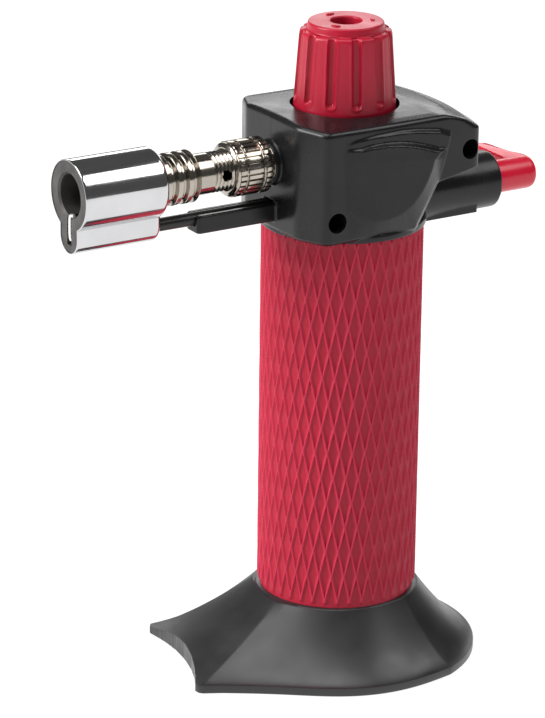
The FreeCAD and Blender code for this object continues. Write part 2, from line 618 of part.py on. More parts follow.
# ---------------------------------------------------------------- head shells and screws
def make_head_outside():
    plan = extruded("HeadPlan", "XY_Plane", [
        ("head_front_x", "-head_flat_y"), ("head_front_x", "head_flat_y"),
        ("head_corner_x", "head_half_y"), ("-60", "head_half_y"),
        ("-60", "-head_half_y"), ("head_corner_x", "-head_half_y")], "400")
    rear = turned("HeadRear", [
        ("0", "head_low_z"), ("rear_foot_r", "head_low_z"), ("rear_waist_r", "rear_waist_z"),
        ("rear_r", "rear_plate_z"), ("rear_r", "rear_edge_z"), ("rear_r - 3.6", "rear_edge_z + 2.4"),
        ("rear_r - 8", "head_top_z - 0.8"), ("rear_top_r", "head_top_z"), ("0", "head_top_z")])
    place(rear, x="rear_centre_x")
    crown = rod("HeadCrown", "head_crown_r", ("-60", "0", "head_top_z - head_crown_r"), "120", "X")
    main = overlap("HeadMain", plan, rear, crown)
    housing = doc.addObject("Part::Cone", "Housing")
    bind(housing, Radius1="housing_r", Radius2="housing_root_r", Height="-housing_rear_x - 8")
    place(housing, "housing_rear_x", "0", "igniter_z", ALONG_X)
    keel = block("Keel", ("keel_rear_x", "-keel_half_y", "keel_low_z"),
                 ("-14", "keel_half_y", "igniter_z"))
    lip = turned("Lip", [
        ("0", "grip_top_z"), ("grip_r", "grip_top_z"), ("grip_r", "head_low_z - 1.1"),
        ("lip_r", "head_low_z - 1.1"), ("lip_r", "head_low_z + 1.1"), ("0", "head_low_z + 1.1")])
    spigot = rod("Spigot", "tank_r", ("0", "0", "tank_top_z + 0.2"),
                 "head_low_z - tank_top_z + 1", "Z")
    trim = block("HousingTrim", ("-18", "-10", "keel_low_z - 6"), ("0", "10", "keel_low_z"))
    housing = cut("HousingTrimmed", housing, trim)
    channel = block("Channel", ("head_front_x - 1", "-channel_half_y", "channel_low_z"),
                    ("channel_front_x", "channel_half_y", "channel_top_z"))
    boss = rod("FrontBoss", "boss_r", ("head_front_x - 1", "0", "barrel_z"),
               "collar_rear_x - head_front_x + 0.65", "X")
    return join("HeadOutside", main, housing, keel, lip, spigot, channel, boss,
                make_pad(1), make_pad(-1))


def make_head_inside():
    room_rear = turned("HeadRoomRear", [
        ("0", "head_low_z"), ("rear_foot_r - head_wall", "head_low_z"),
        ("rear_waist_r - head_wall", "rear_waist_z + head_wall"),
        ("rear_r - head_wall", "rear_plate_z + head_wall"),
        ("rear_r - head_wall", "rear_edge_z - head_wall"),
        ("rear_top_r", "head_top_z - head_wall - 0.8"), ("0", "head_top_z - head_wall - 0.8")])
    place(room_rear, x="rear_centre_x")
    front, corner = "head_front_x - head_wall", "head_corner_x - head_wall - 1"
    side = "head_half_y - head_side_wall"
    room_plan = extruded("HeadRoomPlan", "XY_Plane", [
        (front, "-head_flat_y"), (front, "head_flat_y"), (corner, side), ("-60", side),
        ("-60", "head_side_wall - head_half_y"), (corner, "head_side_wall - head_half_y")], "400")
    room = overlap("HeadRoom", room_rear, room_plan)
    spigot_room = rod("SpigotRoom", "spigot_in_r", ("0", "0", "tank_top_z - 1"), "8", "Z")
    bore = rod("HousingBore", "housing_bore_r", ("housing_rear_x + housing_lip", "0", "igniter_z"),
               "-housing_rear_x - 6", "X")
    button_hole = rod("ButtonHole", "button_r + 0.15", ("housing_rear_x - 1", "0", "igniter_z"),
                      "4", "X")
    knob_hole = rod("KnobHole", "knob_hole_r", ("0", "0", "head_top_z - 5"), "10", "Z")
    barrel_hole = rod("BarrelHole", "mix_r", ("head_front_x - 4", "0", "barrel_z"), "8", "X")
    trough = block("Trough", ("head_front_x - 4", "-lead_r", "lead_z"),
                   ("channel_front_x + 1", "lead_r", "channel_top_z + 0.001"))
    trough_floor = rod("TroughFloor", "lead_r", ("head_front_x - 4", "0", "lead_z"), "30", "X")
    return [room, spigot_room, bore, button_hole, knob_hole, barrel_hole, trough, trough_floor]


def make_pad(side):
    """The raised thumb pad on one side face: flush in front, proud at its round rear."""
    half_y = value("head_half_y")
    proud = value("pad_proud")
    outline = [Part.Arc(Vector(11.2, 0, 125.0), Vector(-1.0, 0, 126.7), Vector(-12.2, 0, 123.8)),
               Part.Arc(Vector(-12.2, 0, 123.8), Vector(-10.9, 0, 116.8), Vector(-6.9, 0, 111.2)),
               Part.Arc(Vector(-6.9, 0, 111.2), Vector(0.6, 0, 108.5), Vector(9.7, 0, 112.0)),
               Part.LineSegment(Vector(9.7, 0, 112.0), Vector(11.2, 0, 125.0))]
    face = Part.Face(Part.Wire([piece.toShape() for piece in outline]))
    prism = face.extrude(Vector(0, half_y + proud + 1, 0))
    rear, root = -14.0, half_y - 1.0
    section = [Vector(11.2, root, 100), Vector(11.2, half_y, 100),
               Vector(rear, half_y + proud, 100), Vector(rear, root, 100), Vector(11.2, root, 100)]
    wedge = Part.Face(Part.makePolygon(section)).extrude(Vector(0, 0, 40))
    solid = prism.common(wedge)
    if side < 0:
        solid = solid.mirror(Vector(), Vector(0, 1, 0))
    return fixed_shape("PadLeft" if side > 0 else "PadRight", solid)


def screw_places():
    return [(value("low_screw_x"), value("low_screw_z")),
            (value("high_screw_x"), value("high_screw_z"))]


def make_head():
    outside = make_head_outside()
    doc.recompute()
    inside = make_head_inside()
    hollow = cut("HeadHollow", outside, *inside)
    bosses = [rod("Boss%d" % i, "screw_hole_r + 1.0", ("%s_screw_x" % w, "0 - head_half_y + 1.5",
              "%s_screw_z" % w), "2 * head_half_y - 3", "Y") for i, w in enumerate(("low", "high"))]
    trimmed = overlap("BossesIn", join("Bosses", *bosses), outside)
    filled = join("HeadFilled", hollow, trimmed)
    holes = []
    for i, which in enumerate(("low", "high")):
        x, z = "%s_screw_x" % which, "%s_screw_z" % which
        holes.append(rod("Counterbore%d" % i, "screw_hole_r", (x, "4", z), "30", "Y"))
        holes.append(rod("Shank%d" % i, "screw_shank_r", (x, "-12", z), "30", "Y"))
    groove = block("LeadGroove", ("9", "-4.6", "low_screw_z + screw_shank_r + 0.05"),
                   ("head_front_x - head_wall", "1.3", "low_screw_z + 4"))
    window = block("LeadWindow", ("low_screw_x + screw_shank_r + 0.1", "-1.2", "lead_z - 0.4"),
                   ("head_front_x + 1.5", "1.2", "lead_z + 2.2"))
    drilled = cut("HeadDrilled", filled, *holes, groove, window)
    for label, low, high in (("head_shell_left", "0", "60"), ("head_shell_right", "-60", "0")):
        side = block(label + "_side", ("-80", low, "80"), ("80", high, "160"))
        keep(overlap(label + "_solid", drilled, side), label)


def make_screws():
    screws = []
    for x, z in screw_places():
        head = Part.makeCylinder(2.1, 1.6, Vector(x, 4.0, z), Vector(0, 1, 0))
        shank = Part.makeCylinder(value("screw_shank_r"), 15.0, Vector(x, -11.0, z), Vector(0, 1, 0))
        slot = Part.makeBox(0.6, 0.8, 2.6, Vector(x - 0.3, 4.9, z - 1.3))
        cross = Part.makeBox(2.6, 0.8, 0.6, Vector(x - 1.3, 4.9, z - 0.3))
        screws.append(head.fuse(shank).cut(slot.fuse(cross)).removeSplitter())
    keep(fixed_shape("HousingScrews", Part.Compound(screws)), "housing_screws")


# ---------------------------------------------------------------- build, check, write
def write_parts():
    doc.recompute()
    for thing in doc.Objects:
        if "Invalid" in thing.State or "Error" in thing.State:
            raise RuntimeError("%s failed: %s" % (thing.Label, thing.State))
    os.makedirs("parts", exist_ok=True)
    for part in parts:
        shape = part.Shape
        if shape.isNull() or not shape.isValid() or not shape.Solids:
            raise RuntimeError("%s has no sound solid" % part.Label)
        print("%-22s solids %d volume %9.1f" % (part.Label, len(shape.Solids), shape.Volume))
        shape.exportStep("parts/%s.step" % part.Label)


make_stand()
make_tank()
make_grip()
make_refill_valve()
make_gas_valve()
make_knob()
make_gas_line()
make_mixing_tube()
make_air_collar()
make_finned_sleeve()
make_nozzle()
make_flame_disc()
make_electrode()
make_ignition_lead()
make_igniter()
make_button()
make_head()
make_screws()
write_parts()
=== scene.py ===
"""Looks of the table-top butane torch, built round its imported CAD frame.

Lengths are written in millimetres and turned into metres where a mesh is made.
+X runs along the burner towards the flame, +Y towards the head's left shell, +Z up.
"""
import json
import math

import bmesh
import bpy
import numpy as np
from mathutils import Matrix, Vector


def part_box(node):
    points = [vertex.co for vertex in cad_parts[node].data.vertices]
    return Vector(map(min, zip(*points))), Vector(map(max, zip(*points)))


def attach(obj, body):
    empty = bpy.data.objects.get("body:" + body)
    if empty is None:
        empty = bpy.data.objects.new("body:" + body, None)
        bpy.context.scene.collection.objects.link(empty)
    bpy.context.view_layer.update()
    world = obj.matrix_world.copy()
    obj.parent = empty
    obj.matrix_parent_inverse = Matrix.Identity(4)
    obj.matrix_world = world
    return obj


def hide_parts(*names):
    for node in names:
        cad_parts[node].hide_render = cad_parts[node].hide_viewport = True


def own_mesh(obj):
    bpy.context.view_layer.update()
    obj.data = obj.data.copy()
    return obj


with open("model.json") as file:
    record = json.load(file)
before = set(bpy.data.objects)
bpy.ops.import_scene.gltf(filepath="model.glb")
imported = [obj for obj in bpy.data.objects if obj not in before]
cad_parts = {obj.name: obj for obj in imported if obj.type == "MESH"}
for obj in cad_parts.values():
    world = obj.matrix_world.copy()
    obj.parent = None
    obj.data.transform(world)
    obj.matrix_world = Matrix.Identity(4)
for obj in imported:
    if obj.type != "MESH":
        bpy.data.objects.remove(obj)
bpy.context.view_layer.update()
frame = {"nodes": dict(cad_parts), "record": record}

MM = 0.001
TAU = 2 * math.pi

# Shared sizes of the object, in millimetres
STAND_MOUTH_R, STAND_MOUTH_Z = 18.9, 16.1
GRIP_R = 18.1
GRIP_LOW, GRIP_HIGH = STAND_MOUTH_Z, 105.3
HEAD_TOP = 131.25
HEAD_CROWN_R = 215.0
SIDE_Y = 18.1
IGNITER_Z = 107.53
HOUSING_REAR = -39.16
BARREL_Z = 120.06
COLLAR_REAR, COLLAR_FRONT = 21.85, 30.4
FIN_R = 5.9
GUARD_WALL = 0.26
LEAD_Z = 110.0
LEAD_R = 1.5


# ---------------------------------------------------------------- mesh helpers
def placed(name, data):
    """A new object in the scene, with the mesh, curve, light or camera given."""
    obj = bpy.data.objects.new(name, data)
    bpy.context.scene.collection.objects.link(obj)
    return obj


def mesh_object(name, points, faces, sharp=35.0):
    """A mesh object from points in millimetres, its edges crisp where they turn over `sharp`."""
    mesh = bpy.data.meshes.new(name)
    mesh.from_pydata((np.asarray(points, float) * MM).tolist(), [], faces)
    obj = placed(name, mesh)
    settle(obj, sharp)
    return obj


def settle(obj, sharp=35.0):
    """Weld the mesh, turn its normals outward and shade it smooth up to an angle."""
    work = bmesh.new()
    work.from_mesh(obj.data)
    bmesh.ops.remove_doubles(work, verts=work.verts, dist=1e-6)
    bmesh.ops.recalc_face_normals(work, faces=work.faces)
    work.to_mesh(obj.data)
    work.free()
    obj.data.polygons.foreach_set("use_smooth", [True] * len(obj.data.polygons))
    obj.data.set_sharp_from_angle(angle=math.radians(sharp))


def grid_faces(rows, columns, wrap=True):
    """Quads over a grid of points stored row by row."""
    last = columns if wrap else columns - 1
    return [(i * columns + j, i * columns + (j + 1) % columns,
             (i + 1) * columns + (j + 1) % columns, (i + 1) * columns + j)
            for i in range(rows - 1) for j in range(last)]


def skin(name, rings, sharp=35.0, loop=False, caps=True):
    """A closed surface through rings of points that all have the same count."""
    if loop:
        rings = list(rings) + [rings[0]]
    count = len(rings[0])
    faces = grid_faces(len(rings), count)
    if caps and not loop:
        faces.append(tuple(range(count)))
        faces.append(tuple((len(rings) - 1) * count + j for j in range(count)))
    return mesh_object(name, np.vstack(rings), faces, sharp)


def rounded(corners, steps=5, closed=False):
    """A polyline through corners (a, b, radius), each rounded by its radius."""
    result = []
    count = len(corners)
    for i, (a, b, radius) in enumerate(corners):
        here = np.array((a, b), float)
        if radius == 0 or (not closed and i in (0, count - 1)):
            result.append(here)
            continue
        before = np.array(corners[i - 1][:2], float) - here
        after = np.array(corners[(i + 1) % count][:2], float) - here
        near, far = np.linalg.norm(before), np.linalg.norm(after)
        before, after = before / near, after / far
        half = 0.5 * math.acos(np.clip(before @ after, -1, 1))
        reach = min(radius / math.tan(half), 0.48 * near, 0.48 * far)
        for k in range(steps + 1):
            t = k / steps
            result.append((1 - t) ** 2 * (here + before * reach) + 2 * t * (1 - t) * here
                          + t * t * (here + after * reach))
    return np.array(result)


def sampled(line, step):
    """The polyline with no piece longer than step."""
    result = [line[0]]
    for start, end in zip(line, line[1:]):
        pieces = max(1, int(math.ceil(np.linalg.norm(end - start) / step)))
        result += [start + (end - start) * k / pieces for k in range(1, pieces + 1)]
    return np.array(result)


def turned(name, profile, axis="Z", height=0.0, count=128, loop=False, shape=None, sharp=35.0):
    """A lathe-turned piece of (radius, station) points; shape(angles, r, station) may vary r."""
    angles = np.arange(count) * TAU / count
    rings = []
    for radius, station in profile:
        r = np.full(count, radius) if shape is None else shape(angles, radius, station)
        if axis == "Z":
            ring = (r * np.cos(angles), r * np.sin(angles), np.full(count, station))
        else:
            ring = (np.full(count, station), r * np.cos(angles), height + r * np.sin(angles))
        rings.append(np.stack(ring, axis=1))
    return skin(name, rings, sharp, loop)


def box_mesh(name, low, high):
    """A plain box between two corners, for cutting and joining."""
    (a, b, c), (d, e, f) = low, high
    points = [(x, y, z) for x in (a, d) for y in (b, e) for z in (c, f)]
    faces = [(0, 1, 3, 2), (4, 6, 7, 5), (0, 4, 5, 1), (2, 3, 7, 6), (0, 2, 6, 4), (1, 5, 7, 3)]
    return mesh_object(name, points, faces)


def joined(name, *objects):
    """Several objects as one mesh, with no boolean."""
    work = bmesh.new()
    for obj in objects:
        work.from_mesh(obj.data)
        bpy.data.objects.remove(obj)
    mesh = bpy.data.meshes.new(name)
    work.to_mesh(mesh)
    work.free()
    result = placed(name, mesh)
    return result


def apply_modifiers(obj):
    """Bake an object's modifiers into its mesh."""
    graph = bpy.context.evaluated_depsgraph_get()
    mesh = bpy.data.meshes.new_from_object(obj.evaluated_get(graph))
    obj.modifiers.clear()
    obj.data = mesh


def carve(obj, *cutters):
    """Cut closed objects out of a closed object."""
    for cutter in cutters:
        boolean = obj.modifiers.new("cut", "BOOLEAN")
        boolean.operation = "DIFFERENCE"
        boolean.solver = "EXACT"
        boolean.object = cutter
    apply_modifiers(obj)
    for cutter in cutters:
        bpy.data.objects.remove(cutter)


def moulded(obj, voxel, rounds):
    """Fuse overlapping closed shapes and soften every edge, as moulding does."""
    remesh = obj.modifiers.new("fuse", "REMESH")
    remesh.mode = "VOXEL"
    remesh.voxel_size = voxel * MM
    soften = obj.modifiers.new("soften", "CORRECTIVE_SMOOTH")
    soften.iterations = rounds
    soften.smooth_type = "LENGTH_WEIGHTED"
    soften.use_only_smooth = True
    apply_modifiers(obj)


def halved(obj, names, gap):
    """Part a closed mesh at the plane y = 0 into a +Y and a -Y shell."""
    shells = []
    for name, side in zip(names, (1, -1)):
        work = bmesh.new()
        work.from_mesh(obj.data)
        geometry = work.verts[:] + work.edges[:] + work.faces[:]
        cut = bmesh.ops.bisect_plane(work, geom=geometry, dist=1e-7,
                                     plane_co=(0, side * gap * MM, 0),
                                     plane_no=(0, -side, 0), clear_outer=True)
        rim = [e for e in cut["geom_cut"] if isinstance(e, bmesh.types.BMEdge)]
        bmesh.ops.holes_fill(work, edges=rim, sides=0)
        mesh = bpy.data.meshes.new(name)
        work.to_mesh(mesh)
        work.free()
        shell = placed(name, mesh)
        settle(shell, 50)
        shells.append(shell)
    bpy.data.objects.remove(obj)
    return shells


# ---------------------------------------------------------------- material helpers
class Recipe:
    """A Principled material with its texture nodes."""

    def __init__(self, name):
        """Start a material with its shader alone."""
        self.material = bpy.data.materials.new(name)
        self.material.use_nodes = True
        self.tree = self.material.node_tree
        self.shader = self.tree.nodes["Principled BSDF"]

    def set(self, **sockets):
        """Give the shader's sockets constant values."""
        for name, number in sockets.items():
            self.shader.inputs[name.replace("_", " ")].default_value = number
        return self

    def node(self, kind, **inputs):
        """Add a node, each input linked to a socket or set to a number."""
        made = self.tree.nodes.new(kind)
        for name, source in inputs.items():
            socket = made.inputs[name.replace("_", " ")]
            if isinstance(source, bpy.types.NodeSocket):
                self.tree.links.new(source, socket)
            else:
                socket.default_value = source
        return made

    def link(self, source, name):
        """Link a socket to an input of the shader."""
        self.tree.links.new(source, self.shader.inputs[name])

    def place(self, stretch=(1, 1, 1)):
        """The object's own coordinates, stretched."""
        where = self.tree.nodes.new("ShaderNodeTexCoord").outputs["Object"]
        return self.node("ShaderNodeMapping", Vector=where, Scale=stretch).outputs["Vector"]

    def noise(self, scale, detail=4.0, stretch=(1, 1, 1)):
        """Noise over the object's coordinates, its scale per metre."""
        return self.node("ShaderNodeTexNoise", Vector=self.place(stretch), Scale=scale,
                         Detail=detail).outputs["Fac"]

    def ramp(self, source, stops):
        """The source turned into colours at stops of (position, colour)."""
        ramp = self.node("ShaderNodeValToRGB", Fac=source)
        while len(ramp.color_ramp.elements) < len(stops):
            ramp.color_ramp.elements.new(0.5)
        for element, (position, color) in zip(ramp.color_ramp.elements, stops):
            element.position = position
            element.color = (*color, 1.0)
        return ramp.outputs["Color"]

    def spread(self, source, low, high):
        """The source's 0.3 to 0.7 spread over low to high."""
        fit = self.node("ShaderNodeMapRange", Value=source)
        for name, number in (("From Min", 0.3), ("From Max", 0.7), ("To Min", low),
                             ("To Max", high)):
            fit.inputs[name].default_value = number
        return fit.outputs["Result"]

    def bump(self, source, strength, distance):
        """A fine surface relief, its distance in millimetres."""
        bump = self.node("ShaderNodeBump", Height=source, Strength=strength,
                         Distance=distance * MM)
        self.link(bump.outputs["Normal"], "Normal")


def plastic(name, dark, light, rough, grain, coat=0.0, shine=0.4):
    """Moulded plastic: faint colour drift, uneven gloss and a fine grain."""
    recipe = Recipe(name).set(Specular_IOR_Level=shine, Coat_Weight=coat, Coat_Roughness=0.2)
    recipe.link(recipe.ramp(recipe.noise(55, 3), [(0.35, dark), (0.65, light)]), "Base Color")
    recipe.link(recipe.spread(recipe.noise(160, 5), rough - 0.05, rough + 0.06), "Roughness")
    recipe.bump(recipe.noise(2600, 2), grain, 0.03)
    return recipe.material


def plated(name, dark, light, rough, streak):
    """Plated metal: faint tint drift and fine polishing streaks."""
    recipe = Recipe(name).set(Metallic=1.0)
    recipe.link(recipe.ramp(recipe.noise(90, 3), [(0.35, dark), (0.65, light)]), "Base Color")
    recipe.link(recipe.spread(recipe.noise(300, 4, streak), rough * 0.6, rough * 1.5),
                "Roughness")
    recipe.bump(recipe.noise(900, 3, streak), 0.04, 0.01)
    return recipe.material


def turned_metal(name, dark, light, rough):
    """Lathe-turned metal with fine tool rings."""
    recipe = Recipe(name).set(Metallic=1.0)
    recipe.link(recipe.ramp(recipe.noise(200, 4), [(0.3, dark), (0.7, light)]), "Base Color")
    recipe.link(recipe.spread(recipe.noise(700, 3), rough - 0.06, rough + 0.08), "Roughness")
    recipe.bump(recipe.noise(1500, 2, (0.1, 0.1, 3)), 0.15, 0.02)
    return recipe.material


def felt(name, dark, light):
    """Matt fibrous wick."""
    recipe = Recipe(name).set(Roughness=0.95, Sheen_Weight=0.3)
    recipe.link(recipe.ramp(recipe.noise(1800, 6), [(0.3, dark), (0.7, light)]), "Base Color")
    recipe.bump(recipe.noise(3500, 6), 0.8, 0.1)
    return recipe.material


def rubber_with_painted_rib_light(name, painted_valley_shade, crest):
    """Satin rubber with painted shade between its ribs and a painted highlight on their crests."""
    recipe = Recipe(name).set(Specular_IOR_Level=0.30)
    across = recipe.node("ShaderNodeVectorMath", Vector=recipe.place((1, 1, 0)))
    across.operation = "LENGTH"
    drift = recipe.node("ShaderNodeMath", Value=recipe.noise(45, 4))
    drift.operation = "MULTIPLY_ADD"
    drift.inputs[1].default_value = 0.25 * MM
    recipe.tree.links.new(across.outputs["Value"], drift.inputs[2])
    lift = recipe.node("ShaderNodeMapRange", Value=drift.outputs["Value"])
    lift.inputs["From Min"].default_value = (GRIP_R - 0.12) * MM
    lift.inputs["From Max"].default_value = (GRIP_R + 0.42) * MM
    # painted light: the valley colour is painted shade and the crest colour a painted highlight,
    # chosen by the surface's distance from the axis
    recipe.link(recipe.ramp(lift.outputs["Result"], [(0.0, painted_valley_shade), (1.0, crest)]), "Base Color")
    recipe.link(recipe.spread(recipe.noise(240, 5), 0.40, 0.52), "Roughness")
    recipe.bump(recipe.noise(2200, 4), 0.12, 0.04)
    return recipe.material


def stained_metal(name, dark, light):
    """Grey metal dulled unevenly by heat."""
    recipe = Recipe(name).set(Metallic=0.55)
    recipe.link(recipe.ramp(recipe.noise(260, 5), [(0.3, dark), (0.7, light)]), "Base Color")
    recipe.link(recipe.spread(recipe.noise(500, 5), 0.42, 0.58), "Roughness")
    recipe.bump(recipe.noise(1800, 5), 0.3, 0.04)
    return recipe.material


def make_materials():
    """Every material of the torch by its slot's name."""
    along = (0.15, 3, 3)
    return {
        "stand_plastic": plastic("stand_plastic", (0.013, 0.013, 0.014), (0.019, 0.019, 0.020),
                                 0.34, 0.15, shine=0.6),
        "head_plastic": plastic("head_plastic", (0.007, 0.007, 0.008), (0.012, 0.012, 0.013),
                                0.26, 0.08, shine=0.34),
        "case_black": plastic("case_black", (0.02, 0.02, 0.02), (0.03, 0.03, 0.03), 0.5, 0.1),
        "lead_black": plastic("lead_black", (0.012, 0.012, 0.012), (0.02, 0.02, 0.02), 0.32, 0.1),
        "seal_rubber": plastic("seal_rubber", (0.02, 0.02, 0.02), (0.03, 0.03, 0.03), 0.6, 0.2),
        "knob_red": plastic("knob_red", (0.37, 0.006, 0.024), (0.43, 0.010, 0.034), 0.33, 0.08,
                            shine=0.32),
        "button_red": plastic("button_red", (0.62, 0.005, 0.030), (0.68, 0.008, 0.040), 0.28,
                              0.05, 0.2),
        "ceramic_white": plastic("ceramic_white", (0.80, 0.79, 0.76), (0.87, 0.86, 0.83), 0.3,
                                 0.1, 0.3),
        # the grip's two colours are painted shade in the rib valleys and a painted highlight on
        # the rib crests
        "grip_red": rubber_with_painted_rib_light("grip_red", (0.38, 0.007, 0.028), (0.54, 0.024, 0.064)),
        "nozzle_grey": stained_metal("nozzle_grey", (0.060, 0.058, 0.057),
                                     (0.105, 0.100, 0.096)),
        "chrome": plated("chrome", (0.60, 0.60, 0.61), (0.65, 0.65, 0.66), 0.10, along),
        "nickel": plated("nickel", (0.38, 0.345, 0.30), (0.50, 0.455, 0.40), 0.14, along),
        "tank_metal": plated("tank_metal", (0.66, 0.66, 0.67), (0.74, 0.74, 0.75), 0.3, along),
        "spring_steel": turned_metal("spring_steel", (0.5, 0.5, 0.5), (0.6, 0.6, 0.6), 0.3),
        "wire_steel": turned_metal("wire_steel", (0.90, 0.90, 0.90), (0.95, 0.95, 0.95), 0.4),
        "screw_steel": turned_metal("screw_steel", (0.12, 0.12, 0.12), (0.2, 0.2, 0.2), 0.4),
        "brass": turned_metal("brass", (0.72, 0.52, 0.22), (0.80, 0.60, 0.28), 0.28),
        "wick_felt": felt("wick_felt", (0.66, 0.63, 0.56), (0.8, 0.77, 0.7)),
    }


materials = make_materials()
SLOTS = {row["node"]: row["material_slot"] for row in frame["record"]["subparts"]}
BODIES = {node: body for body, nodes in frame["record"]["behaviour"]["bodies"].items()
          for node in nodes}


def finish_piece(obj, *nodes):
    """Give a detailed piece the material of its slot and its body, and hide the CAD nodes that it
    stands for.
    """
    slot = SLOTS[nodes[0]]
    obj.data.materials.clear()
    obj.data.materials.append(materials[slot])
    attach(obj, BODIES[nodes[0]])
    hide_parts(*nodes)


# ---------------------------------------------------------------- camera, floor, lights
def make_camera():
    """A long lens from the burner's side, a little above the head."""
    around, away, height = math.radians(57.11), 826.7, 368.1
    yaw, pitch, roll = (math.radians(a) for a in (1.064, 19.828, 0.713))
    heading = around + math.pi + yaw
    ahead = Vector((math.cos(heading) * math.cos(pitch), math.sin(heading) * math.cos(pitch),
                    -math.sin(pitch)))
    level = Vector((math.sin(heading), -math.cos(heading), 0))
    upright = level.cross(ahead)
    right = level * math.cos(roll) + upright * math.sin(roll)
    up = upright * math.cos(roll) - level * math.sin(roll)
    data = bpy.data.cameras.new("camera")
    data.lens = 192.98
    data.clip_start, data.clip_end = 0.05, 20
    camera = placed("camera", data)
    turn = Matrix((right, up, -ahead)).transposed().to_4x4()
    place = Vector((away * math.cos(around), away * math.sin(around), height)) * MM
    camera.matrix_world = Matrix.Translation(place) @ turn
    bpy.context.scene.camera = camera


def make_floor():
    """A wide pale floor."""
    floor = box_mesh("floor", (-6000, -6000, -20), (6000, 6000, -0.05))
    recipe = Recipe("floor_white").set(Roughness=0.7, Specular_IOR_Level=0.2,
                                       Emission_Color=(1, 1, 1, 1), Emission_Strength=0.90)
    recipe.link(recipe.ramp(recipe.noise(3, 2), [
        (0.3, (0.16, 0.16, 0.16)), (0.7, (0.18, 0.18, 0.18))]), "Base Color")
    floor.data.materials.append(recipe.material)


def area_light(name, place, aim, size, watts):
    """A soft rectangular light, in metres."""
    data = bpy.data.lights.new(name, "AREA")
    data.shape = "RECTANGLE"
    data.size, data.size_y = size
    data.energy = watts
    light = placed(name, data)
    light.location = place
    light.rotation_mode = "QUATERNION"
    light.rotation_quaternion = (Vector(aim) - Vector(place)).to_track_quat("-Z", "Y")


def broad_light(name, toward, spread, strength):
    """A far, wide light that shines from a direction."""
    data = bpy.data.lights.new(name, "SUN")
    data.energy = strength
    data.angle = math.radians(spread)
    light = placed(name, data)
    light.rotation_mode = "QUATERNION"
    light.rotation_quaternion = (-Vector(toward)).to_track_quat("-Z", "Y")


def make_lights():
    """Broad light from above and from the burner's side, in a dark room over a white floor."""
    world = bpy.data.worlds.new("room")
    bpy.context.scene.world = world
    world.use_nodes = True
    backdrop = world.node_tree.nodes["Background"]
    backdrop.inputs["Color"].default_value = (1, 1, 1, 1)
    backdrop.inputs["Strength"].default_value = 0.09
    broad_light("over", (0.25, 0.0, 1.0), 50, 2.0)
    broad_light("key", (0.95, -0.32, 0.5), 34, 3.3)
    area_light("band", (-0.62, 0.45, 1.0), (0.03, 0, 0.12), (0.75, 0.5), 4.2)
    area_light("behind", (-0.9, -1.25, 0.62), (0, 0, 0.1), (1.6, 0.4), 6.0)
    bpy.context.scene.view_settings.view_transform = "Standard"


# ---------------------------------------------------------------- grip
def clear_igniter(grip):
    """Leave out the sleeve's faces that would lie inside the igniter's tube or its keel."""
    tube_r, keel_half_y, keel_z = 6.3, 4.6, 102.4
    work = bmesh.new()
    work.from_mesh(grip.data)
    inside = []
    for face in work.faces:
        x, y, level = face.calc_center_median() / MM
        in_tube = math.hypot(y, level - IGNITER_Z) < tube_r
        in_keel = abs(y) < keel_half_y and level > keel_z
        if x < 0 and (in_tube or in_keel):
            inside.append(face)
    bmesh.ops.delete(work, geom=inside, context="FACES")
    work.to_mesh(grip.data)
    work.free()


def make_grip():
    """The red sleeve: raised ridges in two hands cross into tall diamonds."""
    around, tall = 40, 12.0
    proud, ridge_half, bore_r, plain_end = 0.55, 0.30, 16.5, 0.8
    columns = around * 16
    z = sampled(np.array([(0, GRIP_LOW), (0, GRIP_HIGH)]), 0.42)[:, 1]
    angles = np.arange(columns) * TAU / columns
    turn, height = np.meshgrid(angles, z)
    base = GRIP_R - 0.25
    pitch = TAU * base / around
    ridge = np.zeros_like(turn)
    for hand in (1, -1):
        phase = (turn / TAU * around + hand * height / tall) % 1.0
        away = np.minimum(phase, 1 - phase) * pitch
        ridge = np.maximum(ridge, np.exp(-(away / ridge_half) ** 2))
    ends = np.clip(np.minimum(height - GRIP_LOW - plain_end, GRIP_HIGH - plain_end - height)
                   / 0.6, 0, 1)
    radius = base + proud * ridge * ends
    surface = np.stack([radius * np.cos(turn), radius * np.sin(turn), height], axis=2)
    hollow = [np.stack([bore_r * np.cos(angles), bore_r * np.sin(angles),
                        np.full(columns, level)], axis=1) for level in (GRIP_HIGH, GRIP_LOW)]
    grip = skin("grip_ribbed", list(surface) + hollow, 60, loop=True)
    clear_igniter(grip)
    finish_piece(grip, "grip_sleeve")


